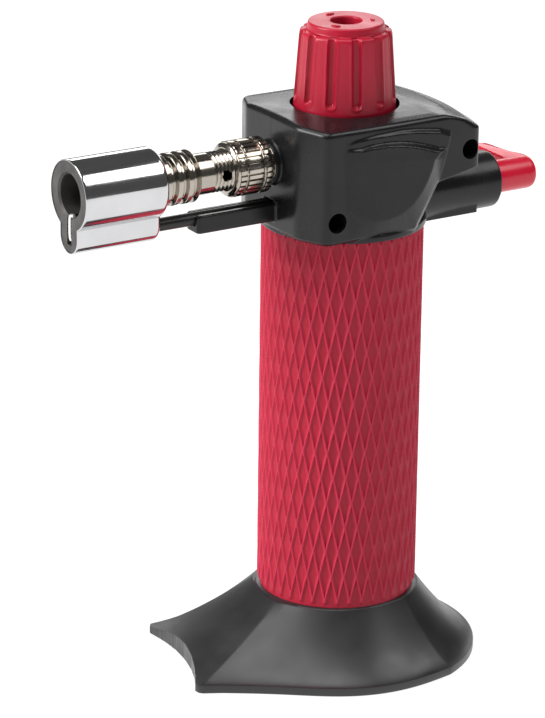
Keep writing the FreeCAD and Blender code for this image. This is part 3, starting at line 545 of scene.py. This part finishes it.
# ---------------------------------------------------------------- knob
def make_knob():
    """The gas knob: twelve round-ended flutes, a stepped crown and three pips."""
    low, shoulder, top = 128.2, 148.06, 150.0
    flutes, flute_half, flute_deep, flute_foot = 12, 1.1, 1.0, 133.6
    outline = rounded([(9.6, low, 0), (11.48, low, 0.3), (11.48, HEAD_TOP, 1.0),
                       (10.25, shoulder, 1.3), (8.75, shoulder + 0.15, 0.35),
                       (8.45, top, 0.55), (3.5, top, 0.45), (3.3, top - 7.9, 0)])
    outline = sampled(outline, 0.3)

    def flute(angles, radius, station):
        """The knob's radius with its flutes, each with a round foot and a slight rolled rim."""
        if radius < 8.9 or station < flute_foot - 2:
            return np.full(len(angles), radius)
        half_step = TAU / flutes / 2
        nearest = (angles - math.radians(11.0) + half_step) % (2 * half_step) - half_step
        across = np.abs(nearest) * radius
        away = np.hypot(across, max(0.0, flute_foot - station))
        depth = flute_deep * np.sqrt(np.clip(1 - (away / flute_half) ** 2, 0, 1))
        roll = 0.12 * np.exp(-((away - 1.3) / 0.3) ** 2)
        return radius - depth + roll * (station < shoulder - 1)

    knob = turned("knob_fluted", outline, count=flutes * 40, shape=flute, sharp=50)
    pips = [knob]
    for number in range(3):
        angle = math.radians(35 + 120 * number)
        pip = turned("pip", rounded([(0.75, top - 0.3, 0), (0.75, top + 0.28, 0.3),
                                     (0.05, top + 0.34, 0)]), count=32)
        stretch = Matrix.Diagonal((0.7, 1.5, 1, 1))
        pip.data.transform(Matrix.Rotation(angle, 4, "Z")
                           @ Matrix.Translation(Vector((5.9 * MM, 0, 0))) @ stretch)
        pips.append(pip)
    knob = joined("knob_fluted", *pips)
    settle(knob, 50)
    finish_piece(knob, "control_knob")


# ---------------------------------------------------------------- head
ARCH_OUT = [(15.5, 126.2), (12.3, 127.3), (8.2, 128.2), (3.4, 128.6), (-3.4, 128.7),
            (-7.7, 128.4), (-13.3, 127.6), (-16.4, 126.4), (-15.6, 122.2), (-14.8, 119.0),
            (-13.9, 116.0), (-13.0, 113.2), (-11.8, 110.3), (-9.6, 106.8), (-8.6, 105.0),
            (9.7, 105.0), (9.9, 112.0), (11.0, 125.0)]
ARCH_IN = [(11.4, 125.5), (8.0, 126.1), (4.8, 126.5), (1.1, 126.6), (-2.5, 126.3),
           (-5.8, 125.7), (-9.0, 124.8), (-11.9, 123.8), (-12.4, 121.5), (-11.6, 118.5),
           (-10.6, 116.3), (-9.2, 113.8), (-6.9, 111.2), (-4.0, 109.4), (-0.6, 108.6),
           (2.9, 108.7), (7.0, 110.1), (9.7, 112.0)]
LOW_SCREW = (12.9, 109.8)
HIGH_SCREW = (-22.1, 121.7)
SCREW_HOLE_R = 2.3


def away_from(outline, x, z):
    """Distance of points to a closed outline, and whether they lie inside it."""
    corners = np.array(outline, float)
    ends = np.roll(corners, -1, axis=0)
    nearest = np.full(x.shape, 1e9)
    inside = np.zeros(x.shape, bool)
    for (ax, az), (bx, bz) in zip(corners, ends):
        length = (bx - ax) ** 2 + (bz - az) ** 2
        t = np.clip(((x - ax) * (bx - ax) + (z - az) * (bz - az)) / length, 0, 1)
        nearest = np.minimum(nearest, np.hypot(x - ax - t * (bx - ax), z - az - t * (bz - az)))
        if az != bz:
            crosses = (az > z) != (bz > z)
            inside ^= crosses & (x < (bx - ax) * (z - az) / (bz - az) + ax)
    return nearest, inside


def pad_height(x, z):
    """How far the thumb pad stands off a side of the head, and how much its edge leans.

    The pad is flush in front and proud behind. Its upper edge is two upright ledges, and its
    rear and lower edge is one broad leaning bevel.
    """
    to_out, in_out = away_from(ARCH_OUT, x, z)
    to_in, in_pad = away_from(ARCH_IN, x, z)
    front_x, run, most_proud = 11.2, 24.0, 3.2
    lower_ledge, ledge_width, lean_over = 0.35, 0.5, 3.0
    proud = most_proud * np.clip((front_x - x) / run, 0, 1) ** 0.7
    share = np.clip(to_out / (to_out + to_in + 1e-6), 0, 1)
    below_ledge = 123.5 + 0.12 * (x + 12) - z
    ledge = below_ledge < 0
    slope = np.where(ledge, lower_ledge * np.clip(to_out / ledge_width, 0, 1), share)
    upper = lower_ledge + (1 - lower_ledge) * np.clip(to_in / ledge_width, 0, 1)
    top = np.where(ledge, upper, 1.0)
    height = proud * np.where(in_pad, top, np.where(in_out, slope, 0.0))
    boss = np.hypot(x - LOW_SCREW[0], z - LOW_SCREW[1])
    height = height * np.clip((boss - 3.2) / 0.4, 0, 1)
    return height, np.clip(below_ledge / lean_over, 0, 1)


def head_plan(angles, z):
    """The block's radius at each angle, at the height given for that angle."""
    front_x, corner_x, flat_y = 19.2, 15.9, 10.8
    cosine, sine = np.cos(angles), np.sin(angles)
    slant = np.array((SIDE_Y - flat_y, front_x - corner_x))
    slant = slant / np.linalg.norm(slant)
    corner = slant @ np.array((corner_x, SIDE_Y))
    walls = [(1, 0, front_x), (0, 1, SIDE_Y), (0, -1, SIDE_Y),
             (slant[0], slant[1], corner), (slant[0], -slant[1], corner)]
    radius = np.full(len(angles), 1e9)
    for a, b, limit in walls:
        facing = a * cosine + b * sine
        wall = limit / np.maximum(facing, 1e-9)
        radius = np.where(facing > 1e-9, np.minimum(radius, wall), radius)
    rear_centre = 28.0
    rear_r = np.interp(z, (105.5, 115.2, 117.2, 126.4, 128.8, 130.45, 131.25),
                       (40.6, 45.6, 55.6, 55.6, 52.0, 47.6, 42.6))
    middle = rear_centre * cosine
    rear = middle + np.sqrt(middle ** 2 - rear_centre ** 2 + rear_r ** 2)
    radius = np.minimum(radius, rear)
    reach, softness = 12, 5.0
    kernel = np.exp(-0.5 * (np.arange(-reach, reach + 1) / softness) ** 2)
    padded = np.concatenate([radius[-reach:], radius, radius[:reach]])
    return np.convolve(padded, kernel / kernel.sum(), "valid")


def head_block():
    """The main block: a straight-sided plan, a round rear that rolls over, a crowned top."""
    angles = np.arange(960) * TAU / 960
    cosine, sine = np.cos(angles), np.sin(angles)
    low, edge = 104.6, 1.3
    at_rim = head_plan(angles, np.full(len(angles), 130.0)) * sine
    crown = HEAD_TOP - at_rim ** 2 / (2 * HEAD_CROWN_R)
    levels = []
    for k in range(5):
        levels.append((low + 0.2 * k, 0.8 - 0.2 * k))
    for k in range(1, 101):
        levels.append((low + 0.8 + (crown - edge - low - 0.8) * k / 100, 0.0))
    for k in range(1, 9):
        turn = k / 8 * math.pi / 2
        levels.append((crown - edge * (1 - math.sin(turn)), edge * (1 - math.cos(turn))))
    rings = []
    for z, inset in levels:
        z = np.broadcast_to(z, angles.shape)
        radius = head_plan(angles, z) - inset
        x, y = radius * cosine, radius * sine
        flat = np.abs(np.abs(y) - SIDE_Y) < 0.06
        height, lean = pad_height(x, z)
        lift = np.where(flat, height, 0.0)
        rings.append(np.stack([x + 0.6 * lean * lift, y + np.sign(y) * lift,
                               z + 0.4 * lean * lift], axis=1))
    for scale in (0.9, 0.7, 0.4, 0.1):
        x, y = radius * scale * cosine, radius * scale * sine
        rings.append(np.stack([x, y, HEAD_TOP - y ** 2 / (2 * HEAD_CROWN_R)], axis=1))
    return skin("head_block", rings)


def igniter_housing():
    """The tube round the igniter, flared where it runs into the block, and the keel under it."""
    tube_r, flare_r, flare_x, front_x = 6.57, 1.9, -31.0, -8.0
    stations = np.linspace(HOUSING_REAR, front_x, 60)
    flare = np.clip((stations - flare_x) / 19.0, 0, 1)
    wall = [(tube_r + flare_r * f ** 2, x) for f, x in zip(flare, stations)]
    housing = turned("housing", [(2.0, HOUSING_REAR)] + wall + [(2.0, front_x)], "X",
                     IGNITER_Z, 128)
    half_y, low, high = 5.2, 101.6, 107
    keel = box_mesh("keel", (-33.3, -half_y, low), (-10, half_y, high))
    return housing, keel


def lead_channel():
    """The bar under the barrel that holds the lead, its front end rounded off."""
    half_y, low, high = 2.7, 106.9, 111.2
    section = rounded([(-half_y, low, 0.9), (half_y, low, 0.9), (half_y, high, 0.4),
                       (-half_y, high, 0.4)], 4, closed=True)
    middle = np.array((0.0, (low + high) / 2))
    rings = [np.column_stack([np.full(len(section), x), middle + (section - middle) * scale])
             for x, scale in ((12, 1), (38.5, 1), (39.1, 0.95), (39.4, 0.82))]
    return skin("channel", rings)


def head_cutters():
    """The knob's well, the barrel's and button's bores, the lead's trough and the screw holes."""
    cutters = [turned("knob_well", [(12.3, 122), (12.3, 131.0), (12.45, 136)], count=192),
               turned("barrel_hole", [(4.75, 15), (4.75, 30)], "X", BARREL_Z, 96),
               turned("mouth", [(5.3, -41), (5.3, -30)], "X", IGNITER_Z, 96),
               turned("under", [(17.4, 90), (17.4, 104.8)], count=128),
               box_mesh("trough", (17.0, -1.55, LEAD_Z - 1.4), (60, 1.55, 111.6))]
    for x, z in (LOW_SCREW, HIGH_SCREW):
        hole = turned("hole", [(SCREW_HOLE_R, 4.0), (SCREW_HOLE_R, 30.0)], count=64)
        hole.data.transform(Matrix.Translation(Vector((x, 0, z)) * MM)
                            @ Matrix.Rotation(-math.pi / 2, 4, "X"))
        cutters.append(hole)
    return cutters


def make_head():
    """The two black shells with the igniter housing, keel, lip and lead channel."""
    block = head_block()
    lip = turned("lip", rounded([(0.5, 103.9, 0), (18.9, 103.9, 0.3), (18.9, 105.4, 1.0),
                                 (17.6, 106.6, 0.8), (0.5, 106.8, 0)]), count=360)
    housing, keel = igniter_housing()
    boss = turned("front_boss", [(0.5, 12), (5.0, 12), (5.0, 20.8), (0.5, 20.8)],
                  "X", BARREL_Z, 96)
    head = joined("head", block, lip, housing, keel, lead_channel(), boss)
    moulded(head, 0.22, 3)
    carve(head, *head_cutters())
    left, right = halved(head, ("head_left", "head_right"), 0.03)
    finish_piece(left, "head_shell_left")
    finish_piece(right, "head_shell_right")


# ---------------------------------------------------------------- button
def make_button():
    """The round igniter button with its flat top and its thumb wing on the -Y side."""
    bar_r, collar_r, front, tip = 3.85, 5.1, -36.2, -51.2
    bar = turned("bar", rounded([(0.3, front, 0), (collar_r, front, 0.2),
                                 (collar_r, front - 1.5, 0.2), (bar_r, front - 1.6, 0),
                                 (bar_r, tip, 1.6), (0.3, tip, 0)]),
                 "X", IGNITER_Z, 96)
    top = IGNITER_Z + bar_r
    wing = [(-44.6, 0.9), (-50.4, 0.9), (-50.5, -0.4), (-49.7, -2.6), (-48.8, -5.0),
            (-48.3, -8.2), (-48.1, -11.2), (-47.6, -13.6), (-46.4, -14.2), (-44.6, -13.6)]
    wing = rounded([(x, y, 0.6) for x, y in wing], 4, closed=True)
    centre = wing.mean(axis=0)
    plate = skin("plate", [
        np.column_stack([centre + (wing - centre) * scale, np.full(len(wing), z)])
        for z, scale in ((top - 2.2, 0.93), (top - 1.9, 1), (top - 0.5, 1), (top - 0.2, 0.98),
                         (top - 0.05, 0.94), (top, 0.88))])
    button = joined("button_wing", bar, plate)
    settle(button, 60)
    finish_piece(button, "igniter_button")


# ---------------------------------------------------------------- burner barrel
def make_mixing_tube():
    """The tube with its thread behind and its air hole through it."""
    bore_r, crest_r, root_r, rear, front = 3.0, 4.65, 3.95, 14.0, 55.0
    thread = []
    crest = 20.0
    while crest < 36.0:
        thread += [(crest_r, crest, 0.12), (root_r, crest + 0.5, 0.1)]
        crest += 1.0
    tube = rounded([(bore_r, rear, 0), (crest_r, rear, 0)] + thread
                   + [(crest_r, crest, 0.1), (crest_r, front, 0), (bore_r, front, 0)], 3)
    tube = turned("tube_threaded", tube, "X", BARREL_Z, 128, loop=True, sharp=60)
    drill = turned("drill", [(1.3, -8), (1.3, 8)], count=48)
    drill.data.transform(Matrix.Translation(Vector((32.9, 0, BARREL_Z)) * MM)
                         @ Matrix.Rotation(-math.pi / 2, 4, "X"))
    carve(tube, drill)
    settle(tube, 50)
    finish_piece(tube, "mixing_tube")


def make_air_collar():
    """The knurled air collar with two plain grooves, and the plain ring in front of it."""
    bore_r, outer_r, groove_r = 4.8, 6.29, 5.7
    ribs, rib_deep = 30, 0.62
    outline = [(bore_r, COLLAR_REAR, 0), (outer_r, COLLAR_REAR, 0.3)]
    for start, end in ((23.7, 24.4), (28.25, 28.8)):
        outline += [(outer_r, start, 0.12), (groove_r, start + 0.05, 0.1),
                    (groove_r, end - 0.05, 0.1), (outer_r, end, 0.12)]
    outline += [(outer_r, COLLAR_FRONT, 0.15), (bore_r, COLLAR_FRONT, 0)]

    def knurl(angles, radius, _):
        """The collar's radius with straight cuts across its outer faces."""
        if radius < outer_r - 0.39:
            return np.full(len(angles), radius)
        wave = np.abs((angles / TAU * ribs) % 1.0 - 0.5) * 2
        return radius - rib_deep * np.clip((wave - 0.60) / 0.12, 0, 1)

    collar = turned("collar_knurled", sampled(rounded(outline, 3), 1.2), "X", BARREL_Z,
                    ribs * 24, loop=True, shape=knurl, sharp=50)
    finish_piece(collar, "air_collar")
    ring = turned("collar_ring", rounded([(bore_r, COLLAR_FRONT, 0), (6.05, COLLAR_FRONT, 0.1),
                                          (6.0, 30.9, 0.2), (5.05, 31.3, 0.15),
                                          (bore_r, 31.3, 0)], 3),
                  "X", BARREL_Z, 128, loop=True)
    finish_piece(ring, "air_collar_ring")


def make_fins():
    """The sleeve with three cooling grooves, its front end inside the guard."""
    bore_r, groove_r, rear, front = 4.7, 4.85, 39.9, 49.8
    fins = [(bore_r, rear, 0), (5.2, rear, 0.2), (FIN_R, rear + 0.6, 0.2)]
    for groove in (41.3, 44.0, 46.7):
        fins += [(FIN_R, groove - 0.75, 0.25), (groove_r, groove - 0.35, 0.15),
                 (groove_r, groove + 0.35, 0.15), (FIN_R, groove + 0.75, 0.25)]
    fins += [(FIN_R, front, 0), (bore_r, front, 0)]
    sleeve = turned("sleeve_finned", rounded(fins, 4), "X", BARREL_Z, 128, loop=True, sharp=60)
    finish_piece(sleeve, "finned_sleeve")


# ---------------------------------------------------------------- flame guard and nozzle
def pear(inset, x):
    """One section of the guard: the barrel's circle with the electrode's lobe under it."""
    big, small, lobe_z = 8.03 - inset, 3.9 - inset, 110.8
    meet = math.asin(small / big)
    top = [(-math.sin(a) * big, BARREL_Z - math.cos(a) * big)
           for a in np.linspace(meet, TAU - meet, 180)]
    low = [(math.cos(a) * small, lobe_z - math.sin(a) * small)
           for a in np.linspace(0, math.pi, 60)]
    start, end = top[-1], low[0]
    right = [(start[0], start[1] + (end[1] - start[1]) * t) for t in np.linspace(0, 1, 12)[1:-1]]
    left = [(-y, z) for y, z in reversed(right)]
    return np.array([(x, y, z) for y, z in top + right + low + left])


def make_guard():
    """The polished plate guard, open in front, with a rounded shoulder behind."""
    rear, front, shoulder = 49.2, 70.18, 1.3
    rings = [pear(2.2, rear)]
    for k in range(9):
        turn = k / 8 * math.pi / 2
        rings.append(pear(shoulder * (1 - math.sin(turn)), rear + shoulder * (1 - math.cos(turn))))
    rings += [pear(0, x) for x in (rear + 1.6, rear + 2.2, 60.0, front - 0.6, front - 0.2)]
    rings += [pear(0.04, front - 0.06), pear(0.1, front), pear(GUARD_WALL, front),
              pear(GUARD_WALL, rear + 1.4)]
    guard = skin("guard_plate", rings, 50)
    behind, ahead, hole_r = rear - 2, rear + 4, LEAD_R + 0.05
    carve(guard, turned("fin_hole", [(FIN_R, behind), (FIN_R, ahead)], "X", BARREL_Z, 128),
          turned("lead_hole", [(hole_r, behind), (hole_r, ahead)], "X", LEAD_Z, 48))
    settle(guard, 40)
    finish_piece(guard, "flame_guard")


def make_nozzle():
    """The grey nozzle that fills the guard, with its flame bore and the electrode's slot."""
    rear, face, flame_r = 51.0, 70.0, 4.76
    nozzle = skin("nozzle_face", [pear(GUARD_WALL, rear), pear(GUARD_WALL, face - 0.1),
                                  pear(GUARD_WALL + 0.1, face)], 40)
    bore = turned("bore", [(flame_r, 55), (flame_r, face - 0.5), (5.2, face + 0.02),
                           (5.2, face + 2)], "X", BARREL_Z, 128)
    slot = box_mesh("slot", (64.5, -0.95, 108.9), (72, 0.95, BARREL_Z - 3))
    carve(nozzle, bore, slot)
    settle(nozzle, 35)
    finish_piece(nozzle, "burner_nozzle")


def wire(name, points, radius):
    """A round wire through points in millimetres."""
    curve = bpy.data.curves.new(name, "CURVE")
    curve.dimensions = "3D"
    curve.bevel_depth = radius * MM
    curve.bevel_resolution = 6
    curve.use_fill_caps = True
    spline = curve.splines.new("NURBS")
    spline.points.add(len(points) - 1)
    for point, place in zip(spline.points, points):
        point.co = (*(c * MM for c in place), 1.0)
    spline.order_u = 3
    spline.use_endpoint_u = True
    spline.resolution_u = 10
    temporary = placed(name, curve)
    graph = bpy.context.evaluated_depsgraph_get()
    mesh = bpy.data.meshes.new_from_object(temporary.evaluated_get(graph))
    bpy.data.objects.remove(temporary)
    obj = placed(name, mesh)
    settle(obj, 60)
    return obj


def make_electrode():
    """The black lead sleeve in its channel, and the bright wire hooked in front of the slot."""
    rear, front, core_r = 17.2, 50.0, 0.3
    sleeve = turned("sleeve_lead", rounded([(core_r, rear, 0), (LEAD_R, rear, 0.1),
                                            (LEAD_R, front, 0.1), (core_r, front, 0)]),
                    "X", LEAD_Z, 48)
    finish_piece(sleeve, "lead_sleeve")
    hook_x, hook_z = 69.75, 115.9
    electrode = wire("electrode_hooked", [(24, 0, LEAD_Z), (front, 0, LEAD_Z), (67.6, 0, LEAD_Z),
                                          (69.5, 0, LEAD_Z - 0.2), (hook_x, 0, 111.0),
                                          (hook_x, 0, 113.0), (hook_x, 0, 114.9),
                                          (hook_x, 0.2, 115.6), (hook_x, 1.0, hook_z),
                                          (hook_x, 1.8, hook_z)], 0.42)
    finish_piece(electrode, "electrode_wire")


def make_springs():
    """The coil springs of the igniter and the refill valve, each wound to fill its CAD part's box.
    """
    wire_r, turns, steps = 0.25, 4, 20
    for node, joint, along, travel in (("igniter_spring", "igniter_press", 0, 5.0),
                                       ("refill_valve_spring", "refill_stem_press", 2, 1.5)):
        low, high = (np.array(corner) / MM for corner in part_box(node))
        one, other = [k for k in range(3) if k != along]
        coil_r = (high - low)[other] / 2 - wire_r
        length = (high - low)[along]
        points = []
        for k in range(turns * steps + 1):
            angle = TAU * k / steps
            point = (low + high) / 2
            point[along] = low[along] + wire_r + (length - 2 * wire_r) * k / (turns * steps)
            point[one] += coil_r * math.cos(angle)
            point[other] += coil_r * math.sin(angle)
            points.append(point)
        spring = wire(node + "_coil", points, wire_r)
        finish_piece(spring, node)
        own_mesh(spring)


# ---------------------------------------------------------------- stand
def on_circle(radius, angles):
    """Points of a circle in plan, at angles in radians."""
    return np.column_stack([radius * np.cos(angles), radius * np.sin(angles)])


def stand_plan():
    """Matched points of the skirt's foot and its mouth, in the stand's own turn.

    Both run round the back, along one side to the front corner, along the front arc and back
    along the other side.
    """
    back_r, front_r, half_y = 32.4, 43.5, 18.4
    back_end, side_end = math.radians(72), math.radians(25)
    corner = np.array((math.sqrt(front_r ** 2 - half_y ** 2), half_y))
    start = back_r * np.array((math.cos(back_end), math.sin(back_end)))
    middle = (start + corner) / 2
    waist = middle - np.array((0.55, 1.2))
    t = (np.arange(60) / 60)[:, None]
    side = (1 - t) ** 2 * start + 2 * t * (1 - t) * (2 * waist - middle) + t * t * corner
    side_angles = back_end - (back_end - side_end) * t[:, 0]
    back = back_end + (TAU - 2 * back_end) * np.arange(200) / 200
    edge = math.atan2(half_y, corner[0])
    across = 2 * np.arange(80) / 80 - 1
    low = np.vstack([on_circle(back_r, back), side * (1, -1), on_circle(front_r, edge * across),
                     side[::-1]])
    high = on_circle(STAND_MOUTH_R, np.concatenate([back, -side_angles, side_end * across,
                                                    side_angles[::-1]]))
    # the seams between the round back and the sides are softened along a stretch of the outline
    rounds, stretch = 400, 50
    for _ in range(rounds):
        for outline in (low, high):
            soft = (np.roll(outline, 1, axis=0) + 2 * outline + np.roll(outline, -1, axis=0)) / 4
            for seam in (len(back), 0):
                near = np.arange(seam - stretch, seam + stretch) % len(outline)
                outline[near] = soft[near]
    return low, high


def stand_skirt():
    """The skirt's outer rings from foot to mouth, cut back in front by a curved bite."""
    low, high = stand_plan()
    edge_z, flare = 2.0, 1.35
    bite_r, bite_x = 50.0, 36.9
    centre = np.array((bite_x + bite_r, 0.0))
    shares = np.linspace(0, 1, 200)
    start = np.zeros(len(low))
    for i in range(len(low)):
        path = low[i] + (high[i] - low[i]) * shares[:, None]
        hit = np.nonzero(np.linalg.norm(path - centre, axis=1) < bite_r)[0]
        start[i] = shares[hit[-1]] if len(hit) else 0.0
    rings = []
    for k in range(61):
        share = start + (1 - start) * k / 60
        plan = low + (high - low) * share[:, None]
        z = STAND_MOUTH_Z - (STAND_MOUTH_Z - edge_z) * (1 - share ** flare)
        rings.append(np.column_stack([plan, z]))
    return rings


def moved_in(ring, inward, depth):
    """A ring of points moved towards the stand's axis."""
    moved = ring.copy()
    moved[:, :2] -= inward * depth
    return moved


def make_stand():
    """The flared black stand, hollow under its skirt, with a curved bite in front."""
    wall, rim, turn_by = 2.0, 0.35, -12.3
    outer = stand_skirt()
    foot = outer[0].copy()
    foot[:, 2] = 0.0
    inward = foot[:, :2] / np.linalg.norm(foot[:, :2], axis=1)[:, None]
    foot_low = moved_in(foot, inward, rim)
    foot_up = foot.copy()
    foot_up[:, 2] = rim
    inner = [moved_in(foot, inward, wall)]
    for ring in outer[:56:5]:
        ring = moved_in(ring, inward, wall)
        ring[:, 2] = np.maximum(ring[:, 2] - wall, 0.3)
        inner.append(ring)
    angles = np.arctan2(inner[-1][:, 1], inner[-1][:, 0])
    socket_r, floor_r, floor_z, seat_z = 16.35, 14.8, 4.6, 6.0
    socket = [np.column_stack([on_circle(r, angles), np.full(len(angles), z)])
              for r, z in ((17.0, floor_z), (floor_r, floor_z), (floor_r, seat_z),
                           (socket_r, seat_z), (socket_r, 16.0))]
    mouth = outer.pop()
    mouth_in = mouth.copy()
    mouth_in[:, :2] *= (STAND_MOUTH_R - 0.45) / STAND_MOUTH_R
    mouth_under = mouth.copy()
    mouth_under[:, 2] -= rim
    rings = [foot_low, foot_up] + outer + [mouth_under, mouth_in] + socket[::-1] + inner[::-1]
    stand = skin("stand_shell", rings, 45, loop=True)
    stand.data.transform(Matrix.Rotation(math.radians(turn_by), 4, "Z"))
    finish_piece(stand, "base_stand")


# ---------------------------------------------------------------- build
make_camera()
make_floor()
make_lights()
for node, thing in frame["nodes"].items():
    thing.data.materials.clear()
    thing.data.materials.append(materials[SLOTS[node]])
make_stand()
make_grip()
make_knob()
make_head()
make_button()
make_mixing_tube()
make_air_collar()
make_fins()
make_guard()
make_nozzle()
make_electrode()
make_springs()
